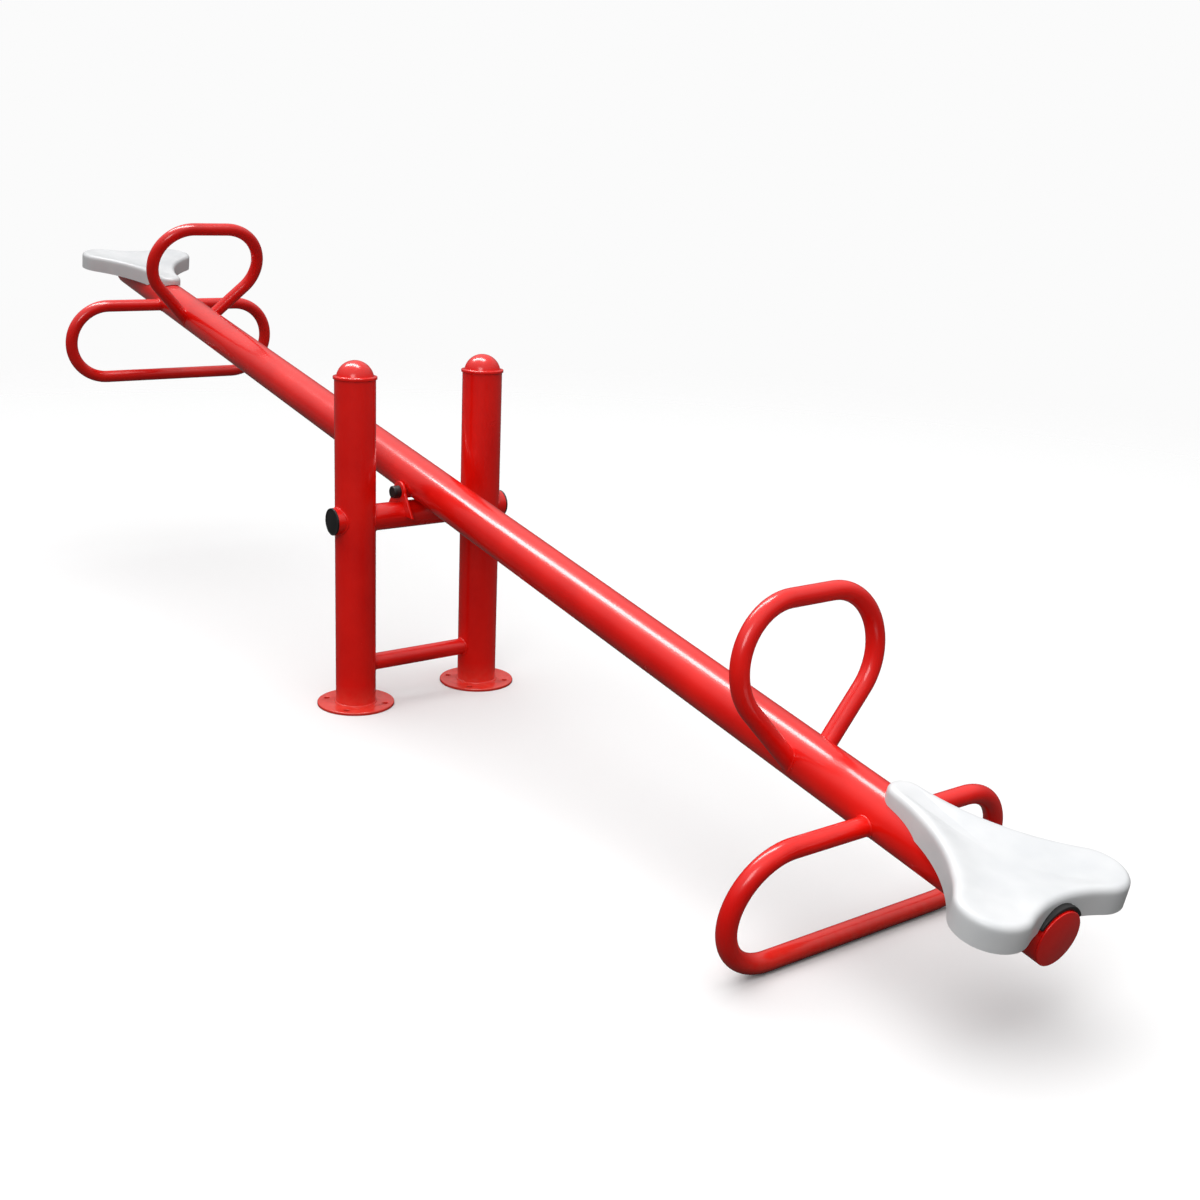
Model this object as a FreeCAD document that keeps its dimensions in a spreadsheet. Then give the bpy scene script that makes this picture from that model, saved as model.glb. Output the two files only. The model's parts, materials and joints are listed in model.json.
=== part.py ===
import FreeCAD, Part
import math
import os
import re
import Sketcher

# A two-seat playground seesaw.  Row frame: origin on the ground midway between the posts,
# +X towards the seat that is down at rest, +Y from the left post to the right post, +Z up.
# Beam frame: origin on the pivot axis, x along the beam, z square to it; the whole beam
# assembly is modelled there and then tilted about the pivot until a footrest is down.

SIZES = {
    # fixed frame
    "post_diameter": 114.0,
    "post_wall": 3.0,
    "post_spacing": 410.0,
    "post_top": 938.0,
    "cap_wall": 3.5,
    "cap_fit": 0.1,
    "cap_lip_drop": 4.0,
    "cap_lip_rise": 4.0,
    "cap_shoulder": 9.0,
    "cap_dome_height": 43.0,
    "flange_diameter": 220.0,
    "flange_thickness": 8.0,
    "flange_chamfer": 1.5,
    "anchor_circle": 174.0,
    "anchor_hole": 16.0,
    "anchor_count": 4.0,
    "crossbar_diameter": 48.0,
    "crossbar_wall": 2.5,
    "crossbar_height": 116.0,
    "cross_tube_diameter": 76.0,
    "cross_tube_wall": 4.0,
    "cross_tube_height": 543.0,
    "cross_tube_stickout": 12.0,
    "plug_head": 5.0,
    "plug_stem": 20.0,
    "plug_wall": 3.0,
    "plug_fit": 0.1,
    # pivot
    "pivot_rise": 66.0,
    "ear_thickness": 8.0,
    "ear_half_width": 30.0,
    "ear_foot_half_width": 75.0,
    "bolt_diameter": 16.0,
    "bolt_clearance": 0.2,
    "bolt_head_flats": 24.0,
    "bolt_head_height": 10.0,
    "nut_height": 14.0,
    "bolt_tail": 3.0,
    "washer_diameter": 30.0,
    "washer_thickness": 3.0,
    "nut_cap_wall": 2.5,
    "nut_cap_fit": 0.4,
    "sleeve_diameter": 26.0,
    "sleeve_running_fit": 0.05,
    "bush_wall": 3.0,
    "bush_length": 30.0,
    "bush_flange_rim": 4.0,
    "bush_flange": 2.0,
    "side_play": 0.5,
    "housing_wall": 4.0,
    # beam
    "beam_diameter": 114.0,
    "beam_wall": 3.0,
    "beam_half_length": 2278.0,
    "beam_above_pivot": 32.0,
    "end_plate_thickness": 4.0,
    # footrests and handles, bent from the same tube
    "loop_tube_diameter": 42.0,
    "loop_tube_wall": 2.5,
    "footrest_position": 1846.0,
    "footrest_half_width": 376.5,
    "footrest_drop": 266.0,
    "footrest_below_axis": 15.5,
    "ground_clearance": 3.0,
    "handle_position": 1614.5,
    "handle_lean": 13.6,
    "handle_height": 348.5,
    "handle_half_width": 193.0,
    "handle_bend_radius": 134.5,
    "handle_foot_offset": 46.0,
    "handle_foot_extra": 30.0,
    # seats
    "seat_front": 1844.0,
    "seat_length": 448.0,
    "seat_nose_radius": 38.0,
    "seat_wing_radius": 72.0,
    "seat_half_width": 208.0,
    "seat_notch_depth": 30.0,
    "seat_flank_radius": 400.0,
    "seat_skirt": 56.0,
    "seat_rim_above_axis": 26.0,
    "seat_shell": 6.0,
    "seat_edge_round": 14.0,
    "seat_beam_gap": 2.0,
    "seat_rear_gap": 9.0,
    "seat_rear_reach": 340.0,
    "seat_plate_length": 216.0,
    "seat_plate_width": 128.0,
    "seat_plate_thickness": 6.0,
    "seat_plate_inset": 182.0,
    "seat_bolt_spacing_x": 170.0,
    "seat_bolt_spacing_y": 104.0,
    "seat_bolt_diameter": 8.0,
    "seat_bolt_flats": 13.0,
    "seat_bolt_head": 5.5,
    "seat_bolt_reach": 10.0,
    "seat_washer_diameter": 18.0,
    "seat_washer_thickness": 1.6,
    "seat_insert_diameter": 12.0,
    "seat_boss_wall": 5.0,
    "rib_thickness": 6.0,
    "rib_spacing": 110.0,
    "rib_depth": 30.0,
}


def rest_tilt():
    """The tilt in degrees that leaves the lower footrest bar just clear of the ground."""
    drop = SIZES["footrest_drop"] + SIZES["footrest_below_axis"] - SIZES["beam_above_pivot"]
    reach = SIZES["footrest_position"]
    bar_height = SIZES["loop_tube_diameter"] / 2 + SIZES["ground_clearance"]
    fall = SIZES["cross_tube_height"] + SIZES["pivot_rise"] - bar_height
    return math.degrees(math.asin(fall / math.hypot(drop, reach)) - math.atan2(drop, reach))


SIZES["rest_tilt"] = rest_tilt()

doc = FreeCAD.newDocument("seesaw")
sheet = doc.addObject("Spreadsheet::Sheet", "Sizes")
for row, (alias, value) in enumerate(SIZES.items(), start=1):
    sheet.set("A%d" % row, alias)
    sheet.set("B%d" % row, repr(value))
    sheet.setAlias("B%d" % row, alias)
doc.recompute()

X_AXIS = FreeCAD.Vector(1, 0, 0)
Y_AXIS = FreeCAD.Vector(0, 1, 0)
Z_AXIS = FreeCAD.Vector(0, 0, 1)
UPRIGHT = FreeCAD.Rotation()
ALONG_Y = FreeCAD.Rotation(X_AXIS, -90)
ALONG_X = FreeCAD.Rotation(Y_AXIS, 90)
SIDES = {"left": -1, "right": 1}
ENDS = {"near": 1, "far": -1}
nodes = []


def cells(text):
    """Turn the size names in a formula into references to the sheet."""
    return re.sub(r"[a-z_]+", lambda word: "Sizes." + word[0] if word[0] in SIZES else word[0], text)


def bind(thing, **formulas):
    """Bind an object's properties to the sheet, one formula each."""
    for name, formula in formulas.items():
        thing.setExpression(name, cells(formula))
    return thing


def put(thing, turn=UPRIGHT, x="0", y="0", z="0"):
    """Turn an object and bind its place to the sheet."""
    thing.Placement = FreeCAD.Placement(FreeCAD.Vector(), turn)
    for axis, formula in (("x", x), ("y", y), ("z", z)):
        thing.setExpression("Placement.Base." + axis, cells(formula))
    return thing


def rod(name, diameter, length, turn=UPRIGHT, x="0", y="0", z="0"):
    """A round bar that starts at a point and runs along its turned Z axis."""
    bar = doc.addObject("Part::Cylinder", name)
    bind(bar, Radius="( " + diameter + " ) / 2", Height=length)
    return put(bar, turn, x, y, z)


def block(name, length, width, height, x="0", y="0", z="0"):
    """A rectangular block from its lowest corner."""
    box = doc.addObject("Part::Box", name)
    bind(box, Length=length, Width=width, Height=height)
    return put(box, UPRIGHT, x, y, z)


def trapezium(name, foot_half_width, top_half_width, thickness, height, y="0", z="0"):
    """An upright plate across Y whose sides lean in from its foot to its top."""
    plate = doc.addObject("Part::Wedge", name)
    bind(plate, Xmin="0 - " + foot_half_width, Xmax=foot_half_width,
         X2min="0 - " + top_half_width, X2max=top_half_width,
         Ymin="0", Ymax=height, Zmin="0", Zmax=thickness, Z2min="0", Z2max=thickness)
    return put(plate, FreeCAD.Rotation(X_AXIS, 90), y=y + " + " + thickness, z=z)


def hexagon(name, flats, height, turn, x="0", y="0", z="0"):
    """A hexagonal bar, as a bolt's head or a nut."""
    prism = doc.addObject("Part::Prism", name)
    prism.Polygon = 6
    bind(prism, Circumradius="( " + flats + " ) / sqrt(3)", Height=height)
    return put(prism, turn, x, y, z)


def fuse(name, *pieces):
    joined = doc.addObject("Part::MultiFuse", name)
    joined.Shapes = list(pieces)
    joined.Refine = True
    return joined


def cut(name, base, *tools):
    result = doc.addObject("Part::Cut", name)
    result.Base = base
    result.Tool = tools[0] if len(tools) == 1 else fuse(name + "_tools", *tools)
    result.Refine = True
    return result


def group(name, pieces):
    """Identical pieces as separate solids in one node."""
    compound = doc.addObject("Part::Compound", name)
    compound.Links = pieces
    return compound


def keep(thing, label):
    """Make an object a node of the fixed frame."""
    thing.Label = label
    nodes.append(thing)
    return thing


def keep_on_beam(thing, label):
    """Make an object in the beam frame a node, tilted about the pivot."""
    thing.Placement = FreeCAD.Placement(FreeCAD.Vector(), FreeCAD.Rotation(Y_AXIS, SIZES["rest_tilt"]))
    thing.setExpression("Placement.Base.z", cells("cross_tube_height + pivot_rise"))
    thing.setExpression("Placement.Rotation.Angle", cells("rest_tilt"))
    return keep(thing, label)


def plane(body, role):
    return next(item for item in body.Origin.OriginFeatures if item.Role == role)


def new_sketch(body, name, role, lift="0"):
    """A sketch on one of its body's own planes, lifted along the plane's normal."""
    sketch = body.newObject("Sketcher::SketchObject", name)
    sketch.AttachmentSupport = [(plane(body, role), "")]
    sketch.MapMode = "FlatFace"
    sketch.setExpression("AttachmentOffset.Base.z", cells(lift))
    return sketch


def add_circle(sketch, diameter, across=0.0, up=0.0):
    """A circle whose diameter stays bound to the sheet."""
    place = FreeCAD.Vector(across, up, 0)
    number = sketch.addGeometry(Part.Circle(place, Z_AXIS, 1), False)
    sketch.addConstraint(Sketcher.Constraint("DistanceX", number, 3, across))
    sketch.addConstraint(Sketcher.Constraint("DistanceY", number, 3, up))
    rule = sketch.addConstraint(Sketcher.Constraint("Diameter", number, 2))
    sketch.setExpression("Constraints[%d]" % rule, cells(diameter))
    return number


def add_chain(sketch, edges, closed=False):
    """Lines and arcs joined end to end, each joint held coincident."""
    first = sketch.GeometryCount
    for edge in edges:
        sketch.addGeometry(edge, False)
    count = len(edges)
    for step in range(count if closed else count - 1):
        here = first + step
        ahead = first + (step + 1) % count
        gaps = {(i, j): (sketch.getPoint(here, i) - sketch.getPoint(ahead, j)).Length
                for i in (1, 2) for j in (1, 2)}
        ends = min(gaps, key=gaps.get)
        sketch.addConstraint(Sketcher.Constraint("Coincident", here, ends[0], ahead, ends[1]))


def line(start, end):
    return Part.LineSegment(FreeCAD.Vector(*start, 0), FreeCAD.Vector(*end, 0))


def arc(centre, radius, first, last):
    """An anticlockwise arc between two angles in degrees."""
    circle = Part.Circle(FreeCAD.Vector(*centre, 0), Z_AXIS, radius)
    return Part.ArcOfCircle(circle, math.radians(first), math.radians(last))


def pad(body, name, sketch, length):
    feature = body.newObject("PartDesign::Pad", name)
    feature.Profile = sketch
    return bind(feature, Length=length)


def pocket(body, name, sketch, length, reverse=False):
    feature = body.newObject("PartDesign::Pocket", name)
    feature.Profile = sketch
    feature.Reversed = reverse
    return bind(feature, Length=length)


def tube(name, diameter, wall, length, turn=UPRIGHT, x="0", y="0", z="0"):
    outer = rod(name + "_outer", diameter, length, turn, x, y, z)
    inner = rod(name + "_inner", diameter + " - 2 * " + wall, length, turn, x, y, z)
    return outer, inner


def signed(side, formula):
    return "( " + formula + " )" if side > 0 else "0 - ( " + formula + " )"


# ---------------------------------------------------------------- fixed frame

def make_post(side_name, side):
    name = side_name + "_post"
    place = signed(side, "post_spacing / 2")
    height = "post_top - flange_thickness"
    outer, inner = tube(name, "post_diameter", "post_wall", height, y=place, z="flange_thickness")
    window = rod(name + "_window", "cross_tube_diameter", "post_diameter", ALONG_Y,
                 y=place + " - post_diameter / 2", z="cross_tube_height")
    keep(cut(name + "_cut", outer, inner, window), name)


def make_post_cap(side_name, side):
    """A pressed dome with a lip that sits over the post's open top."""
    name = side_name + "_post_cap"
    body = doc.addObject("PartDesign::Body", name + "_body")
    inner = SIZES["post_diameter"] / 2 + SIZES["cap_fit"]
    outer = inner + SIZES["cap_wall"]
    dome = outer - SIZES["cap_shoulder"]
    low = -SIZES["cap_lip_drop"]
    rise = SIZES["cap_lip_rise"]
    high = SIZES["cap_dome_height"]
    curve = (dome ** 2 + high ** 2) / (2 * high)
    centre = rise + high - curve
    turn = math.degrees(math.acos(dome / curve))
    hollow = dome - SIZES["cap_wall"]
    hollow_curve = curve - SIZES["cap_wall"]
    hollow_turn = math.degrees(math.acos(hollow / hollow_curve))
    hollow_foot = centre + math.sqrt(hollow_curve ** 2 - hollow ** 2)
    sketch = new_sketch(body, name + "_profile", "XZ_Plane")
    add_chain(sketch, (
        line((inner, low), (outer, low)),
        line((outer, low), (outer, rise)),
        line((outer, rise), (dome, rise)),
        arc((0, centre), curve, turn, 90),
        line((0, centre + curve), (0, centre + hollow_curve)),
        arc((0, centre), hollow_curve, hollow_turn, 90),
        line((hollow, hollow_foot), (hollow, 0)),
        line((hollow, 0), (inner, 0)),
        line((inner, 0), (inner, low)),
    ), closed=True)
    spin = body.newObject("PartDesign::Revolution", name + "_dome")
    spin.Profile = sketch
    spin.ReferenceAxis = (sketch, ["V_Axis"])
    spin.Angle = 360
    put(body, y=signed(side, "post_spacing / 2"), z="post_top")
    keep(body, name)


def make_base_flange(side_name, side):
    """A round foot plate with four anchor holes on a circle."""
    name = side_name + "_base_flange"
    body = doc.addObject("PartDesign::Body", name + "_body")
    outline = new_sketch(body, name + "_outline", "XY_Plane")
    add_circle(outline, "flange_diameter")
    plate = pad(body, name + "_plate", outline, "flange_thickness")
    doc.recompute()
    rim = [number for number, edge in enumerate(plate.Shape.Edges, start=1)
           if isinstance(edge.Curve, Part.Circle) and edge.BoundBox.ZMin > SIZES["flange_thickness"] / 2]
    bevel = body.newObject("PartDesign::Chamfer", name + "_bevel")
    bevel.Base = (plate, ["Edge%d" % number for number in rim])
    bind(bevel, Size="flange_chamfer")
    seat = new_sketch(body, name + "_anchor", "XY_Plane")
    reach = SIZES["anchor_circle"] / 2 * math.sqrt(0.5)
    add_circle(seat, "anchor_hole", reach, reach)
    hole = pocket(body, name + "_hole", seat, "flange_thickness", reverse=True)
    ring = body.newObject("PartDesign::PolarPattern", name + "_holes")
    ring.Originals = [hole]
    ring.Axis = (plane(body, "Z_Axis"), [""])
    ring.Angle = 360
    ring.Occurrences = int(SIZES["anchor_count"])
    body.Tip = ring
    put(body, y=signed(side, "post_spacing / 2"))
    keep(body, name)


def make_crossbar():
    outer, inner = tube("crossbar", "crossbar_diameter", "crossbar_wall", "post_spacing", ALONG_Y,
                        y="0 - post_spacing / 2", z="crossbar_height")
    copes = [rod("crossbar_cope_" + name, "post_diameter", "post_top",
                 y=signed(side, "post_spacing / 2")) for name, side in SIDES.items()]
    keep(cut("crossbar_cut", outer, inner, *copes), "lower_crossbar")


def make_cross_tube():
    reach = "post_spacing / 2 + post_diameter / 2 + cross_tube_stickout"
    outer, inner = tube("cross_tube", "cross_tube_diameter", "cross_tube_wall", "2 * ( " + reach + " )",
                        ALONG_Y, y="0 - ( " + reach + " )", z="cross_tube_height")
    keep(cut("cross_tube_cut", outer, inner), "cross_tube")


def make_tube_plug(side_name, side):
    """A moulded insert that closes an open end of the cross tube."""
    name = side_name + "_tube_plug"
    edge = "post_spacing / 2 + post_diameter / 2 + cross_tube_stickout"
    inner = "cross_tube_diameter - 2 * cross_tube_wall - 2 * plug_fit"
    start = edge if side > 0 else "0 - ( " + edge + " + plug_head )"
    stem_start = edge + " - plug_stem" if side > 0 else "0 - ( " + edge + " )"
    head = rod(name + "_head", "cross_tube_diameter", "plug_head", ALONG_Y, y=start, z="cross_tube_height")
    doc.recompute()
    rounded = doc.addObject("Part::Fillet", name + "_round")
    rounded.Base = head
    outer_face = side * (SIZES["post_spacing"] / 2 + SIZES["post_diameter"] / 2
                         + SIZES["cross_tube_stickout"] + SIZES["plug_head"])
    radius = SIZES["plug_head"] * 0.6
    rounded.Edges = [(number, radius, radius) for number, edge in enumerate(head.Shape.Edges, start=1)
                     if abs(edge.BoundBox.YMin - outer_face) < 0.01 and edge.BoundBox.YLength < 0.01]
    stem = rod(name + "_stem", inner, "plug_stem", ALONG_Y, y=stem_start, z="cross_tube_height")
    hollow = rod(name + "_hollow", inner + " - 2 * plug_wall", "plug_stem", ALONG_Y,
                 y=stem_start, z="cross_tube_height")
    cup = cut(name + "_cup", stem, hollow)
    keep(fuse(name + "_whole", rounded, cup), name)


# ---------------------------------------------------------------- pivot, fixed side

PIVOT_HEIGHT = "cross_tube_height + pivot_rise"
EAR_INNER = "beam_diameter / 2 + bush_flange + side_play"
EAR_OUTER = EAR_INNER + " + ear_thickness"


def make_ear(side_name, side):
    """An upright lug with a broad foot, welded on the cross tube and drilled for the pivot bolt."""
    name = side_name + "_pivot_ear"
    start = EAR_INNER if side > 0 else "0 - ( " + EAR_OUTER + " )"
    slab = trapezium(name + "_slab", "ear_foot_half_width", "ear_half_width", "ear_thickness", "pivot_rise",
                     y=start, z="cross_tube_height")
    crown = rod(name + "_crown", "2 * ear_half_width", "ear_thickness", ALONG_Y, y=start, z=PIVOT_HEIGHT)
    cope = rod(name + "_cope", "cross_tube_diameter", "ear_thickness", ALONG_Y,
               y=start, z="cross_tube_height")
    hole = rod(name + "_hole", "bolt_diameter + 2 * bolt_clearance", "ear_thickness", ALONG_Y,
               y=start, z=PIVOT_HEIGHT)
    keep(cut(name + "_cut", fuse(name + "_blank", slab, crown), cope, hole), name)


def make_pivot_bolt():
    """A hex bolt through both ears, its head on the right."""
    seat = EAR_OUTER + " + washer_thickness"
    reach = seat + " + nut_height + bolt_tail"
    shank = rod("pivot_shank", "bolt_diameter", reach + " + " + seat, ALONG_Y,
                y="0 - ( " + reach + " )", z=PIVOT_HEIGHT)
    head = hexagon("pivot_head", "bolt_head_flats", "bolt_head_height", ALONG_Y, y=seat, z=PIVOT_HEIGHT)
    keep(fuse("pivot_bolt_whole", shank, head), "pivot_bolt")
    nut = hexagon("pivot_nut_blank", "bolt_head_flats", "nut_height", ALONG_Y,
                  y="0 - ( " + seat + " + nut_height )", z=PIVOT_HEIGHT)
    thread = rod("pivot_nut_thread", "bolt_diameter", "nut_height", ALONG_Y,
                 y="0 - ( " + seat + " + nut_height )", z=PIVOT_HEIGHT)
    keep(cut("pivot_nut_cut", nut, thread), "pivot_nut")


def make_pivot_washers():
    washers = []
    for side_name, side in SIDES.items():
        name = side_name + "_pivot_washer"
        start = EAR_OUTER if side > 0 else "0 - ( " + EAR_OUTER + " + washer_thickness )"
        disc = rod(name, "washer_diameter", "washer_thickness", ALONG_Y, y=start, z=PIVOT_HEIGHT)
        hole = rod(name + "_hole", "bolt_diameter + 2 * bolt_clearance", "washer_thickness", ALONG_Y,
                   y=start, z=PIVOT_HEIGHT)
        washers.append(cut(name + "_cut", disc, hole))
    keep(group("pivot_washers_group", washers), "pivot_washers")


def make_nut_caps():
    """Snap-on covers over the pivot's nut and head, sealed against the ears."""
    caps = []
    inner = "washer_diameter + 2 * nut_cap_fit"
    depth = "washer_thickness + nut_height + bolt_tail + nut_cap_fit"
    for side_name, side in SIDES.items():
        name = side_name + "_nut_cap"
        start = EAR_OUTER if side > 0 else "0 - ( " + EAR_OUTER + " + " + depth + " + nut_cap_wall )"
        hollow_start = EAR_OUTER if side > 0 else "0 - ( " + EAR_OUTER + " + " + depth + " )"
        shell = rod(name + "_shell", inner + " + 2 * nut_cap_wall", depth + " + nut_cap_wall",
                    ALONG_Y, y=start, z=PIVOT_HEIGHT)
        doc.recompute()
        tip = max(shell.Shape.Edges, key=lambda edge: side * edge.BoundBox.YMin - edge.BoundBox.YLength)
        number = [edge.isSame(tip) for edge in shell.Shape.Edges].index(True) + 1
        rounded = doc.addObject("Part::Fillet", name + "_round")
        rounded.Base = shell
        radius = SIZES["nut_cap_wall"] * 2
        rounded.Edges = [(number, radius, radius)]
        hollow = rod(name + "_hollow", inner, depth, ALONG_Y, y=hollow_start, z=PIVOT_HEIGHT)
        caps.append(cut(name + "_cut", rounded, hollow))
    keep(group("nut_caps_group", caps), "pivot_nut_caps")


def make_sleeve():
    """The steel tube that the bolt clamps between the ears and the bushes turn on."""
    length = "2 * ( " + EAR_INNER + " )"
    outer = rod("sleeve_outer", "sleeve_diameter", length, ALONG_Y,
                y="0 - ( " + EAR_INNER + " )", z=PIVOT_HEIGHT)
    bore = rod("sleeve_bore", "bolt_diameter + 2 * bolt_clearance", length, ALONG_Y,
               y="0 - ( " + EAR_INNER + " )", z=PIVOT_HEIGHT)
    keep(cut("sleeve_cut", outer, bore), "pivot_sleeve")


# ---------------------------------------------------------------- beam assembly

BUSH_OUTER = "sleeve_diameter + 2 * bush_wall"
HOUSING_OUTER = BUSH_OUTER + " + 2 * housing_wall"
TUBE_HALF = "beam_half_length - end_plate_thickness"


def beam_envelope(name, clearance="0"):
    """The beam's outer cylinder, used to cope what is welded or fitted to it."""
    return rod(name, "beam_diameter + 2 * " + clearance, "2 * beam_half_length", ALONG_X,
               x="0 - beam_half_length", z="beam_above_pivot")


def make_beam():
    outer, inner = tube("beam", "beam_diameter", "beam_wall", "2 * ( " + TUBE_HALF + " )", ALONG_X,
                        x="0 - ( " + TUBE_HALF + " )", z="beam_above_pivot")
    window = rod("beam_window", HOUSING_OUTER, "beam_diameter", ALONG_Y, y="0 - beam_diameter / 2")
    keep_on_beam(cut("beam_cut", outer, inner, window), "main_beam")


def make_end_plate(end_name, end):
    start = TUBE_HALF if end > 0 else "0 - beam_half_length"
    plate = rod(end_name + "_plate", "beam_diameter", "end_plate_thickness", ALONG_X,
                x=start, z="beam_above_pivot")
    keep_on_beam(group(end_name + "_plate_group", [plate]), end_name + "_beam_end_plate")


def make_housing():
    outer = rod("housing_outer", HOUSING_OUTER, "beam_diameter", ALONG_Y, y="0 - beam_diameter / 2")
    bore = rod("housing_bore", BUSH_OUTER, "beam_diameter", ALONG_Y, y="0 - beam_diameter / 2")
    keep_on_beam(cut("housing_cut", outer, bore), "pivot_housing")


def make_bush(side_name, side):
    """A flanged plain bearing pressed into one end of the housing."""
    name = side_name + "_pivot_bush"
    barrel_start = "beam_diameter / 2 - bush_length" if side > 0 else "0 - beam_diameter / 2"
    rim_start = "beam_diameter / 2" if side > 0 else "0 - ( beam_diameter / 2 + bush_flange )"
    bore_start = barrel_start if side > 0 else rim_start
    barrel = rod(name + "_barrel", BUSH_OUTER, "bush_length", ALONG_Y, y=barrel_start)
    rim = rod(name + "_rim", BUSH_OUTER + " + 2 * bush_flange_rim", "bush_flange", ALONG_Y, y=rim_start)
    bore = rod(name + "_bore", "sleeve_diameter + 2 * sleeve_running_fit", "bush_length + bush_flange",
               ALONG_Y, y=bore_start)
    keep_on_beam(cut(name + "_cut", fuse(name + "_blank", barrel, rim), bore), name)


def bent_tube(name, top, spine_edges):
    """Half a loop swept from its top centre, then mirrored across the beam."""
    body = doc.addObject("PartDesign::Body", name + "_body")
    spine = new_sketch(body, name + "_spine", "YZ_Plane")
    add_chain(spine, spine_edges)
    section = new_sketch(body, name + "_section", "XZ_Plane")
    add_circle(section, "loop_tube_diameter", 0, top)
    add_circle(section, "loop_tube_diameter - 2 * loop_tube_wall", 0, top)
    sweep = body.newObject("PartDesign::AdditivePipe", name + "_sweep")
    sweep.Profile = section
    sweep.Spine = (spine, ["Edge%d" % number for number in range(1, len(spine_edges) + 1)])
    mirror = body.newObject("PartDesign::Mirrored", name + "_mirror")
    mirror.Originals = [sweep]
    mirror.MirrorPlane = (plane(body, "XZ_Plane"), [""])
    body.Tip = mirror
    return body


def make_footrest(end_name, end):
    """A flat loop square to the beam, its upper bar butting on the beam's flanks."""
    name = end_name + "_footrest"
    radius = SIZES["footrest_drop"] / 2
    straight = SIZES["footrest_half_width"] - radius
    body = bent_tube(name, 0, (
        line((0, 0), (straight, 0)),
        arc((straight, -radius), radius, -90, 90),
        line((straight, -2 * radius), (0, -2 * radius)),
    ))
    put(body, UPRIGHT, x=signed(end, "footrest_position"), z="beam_above_pivot - footrest_below_axis")
    keep_on_beam(cut(name + "_cut", body, beam_envelope(name + "_cope")), name)


def handle_edges():
    """The handle's half path: flat top, one bend, and a leg aimed at the beam's flank."""
    radius = SIZES["handle_bend_radius"]
    centre = (SIZES["handle_half_width"] - radius, -radius)
    foot = (SIZES["handle_foot_offset"], -SIZES["handle_height"])
    across = foot[0] - centre[0]
    down = foot[1] - centre[1]
    reach = math.hypot(across, down)
    towards = math.atan2(down, across)
    touch = towards + math.acos(radius / reach)
    leave = (centre[0] + radius * math.cos(touch), centre[1] + radius * math.sin(touch))
    leg = math.hypot(foot[0] - leave[0], foot[1] - leave[1])
    stretch = (leg + SIZES["handle_foot_extra"]) / leg
    end = tuple(leave[i] + (foot[i] - leave[i]) * stretch for i in (0, 1))
    return (
        line((0, 0), (centre[0], 0)),
        arc(centre, radius, math.degrees(touch), 90),
        line(leave, end),
    )


def make_handle(end_name, end):
    """A teardrop grip that leans towards the pivot and straddles the beam."""
    name = end_name + "_handle"
    body = bent_tube(name, 0, handle_edges())
    lean = SIZES["handle_lean"]
    rise = SIZES["handle_height"] * math.cos(math.radians(lean))
    back = SIZES["handle_height"] * math.sin(math.radians(lean))
    body.Placement = FreeCAD.Placement(
        FreeCAD.Vector(end * (SIZES["handle_position"] - back), 0, SIZES["beam_above_pivot"] + rise),
        FreeCAD.Rotation(Y_AXIS, -end * lean))
    keep_on_beam(cut(name + "_cut", body, beam_envelope(name + "_cope")), name)


def seat_outline(inset):
    """The seat's plan as tangent arcs: nose, flanks, wings and the notch behind.
    An inset moves the whole outline inwards by that much."""
    nose = SIZES["seat_nose_radius"]
    wing = SIZES["seat_wing_radius"]
    flank = SIZES["seat_flank_radius"]
    nose_at = (nose, 0.0)
    wing_at = (SIZES["seat_length"] - wing, SIZES["seat_half_width"] - wing)
    span = math.hypot(wing_at[0] - nose_at[0], wing_at[1])
    lean = math.atan2(wing_at[1], wing_at[0] - nose_at[0])
    along = ((flank + nose) ** 2 - (flank + wing) ** 2 + span ** 2) / (2 * span)
    out = math.sqrt((flank + nose) ** 2 - along ** 2)
    flank_at = (nose_at[0] + along * math.cos(lean) - out * math.sin(lean),
                along * math.sin(lean) + out * math.cos(lean))
    depth = wing - SIZES["seat_notch_depth"]
    notch = (wing_at[1] ** 2 + depth ** 2 - wing ** 2) / (2 * (wing - depth))
    notch_at = (wing_at[0] + depth + notch, 0.0)

    def bearing(start, end):
        return math.degrees(math.atan2(end[1] - start[1], end[0] - start[0]))

    nose_turn = bearing(nose_at, flank_at)
    wing_turn = bearing(wing_at, flank_at)
    rear_turn = bearing(wing_at, notch_at)
    right = (
        arc(wing_at, wing - inset, rear_turn, wing_turn),
        arc(flank_at, flank + inset, nose_turn + 180, wing_turn + 180),
    )
    left = (
        arc((flank_at[0], -flank_at[1]), flank + inset, -wing_turn - 180, -nose_turn - 180),
        arc((wing_at[0], -wing_at[1]), wing - inset, -wing_turn, -rear_turn),
    )
    front = arc(nose_at, nose - inset, nose_turn, 360 - nose_turn)
    back = arc(notch_at, notch + inset, 180 + rear_turn, 180 - rear_turn)
    return right + (front,) + left + (back,)


SEAT_PLATE_TOP = "beam_above_pivot + beam_diameter / 2 + seat_plate_thickness"
SEAT_RIM = "beam_above_pivot + seat_rim_above_axis"
BOSS_START = "beam_diameter / 2 + seat_plate_thickness - seat_rim_above_axis"


def bolt_places():
    """The four bolt positions under a seat, from the seat's front."""
    centre = SIZES["seat_plate_inset"] + SIZES["seat_plate_length"] / 2
    half_x = SIZES["seat_bolt_spacing_x"] / 2
    half_y = SIZES["seat_bolt_spacing_y"] / 2
    return [(centre + i * half_x, j * half_y) for i in (-1, 1) for j in (-1, 1)]


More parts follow.
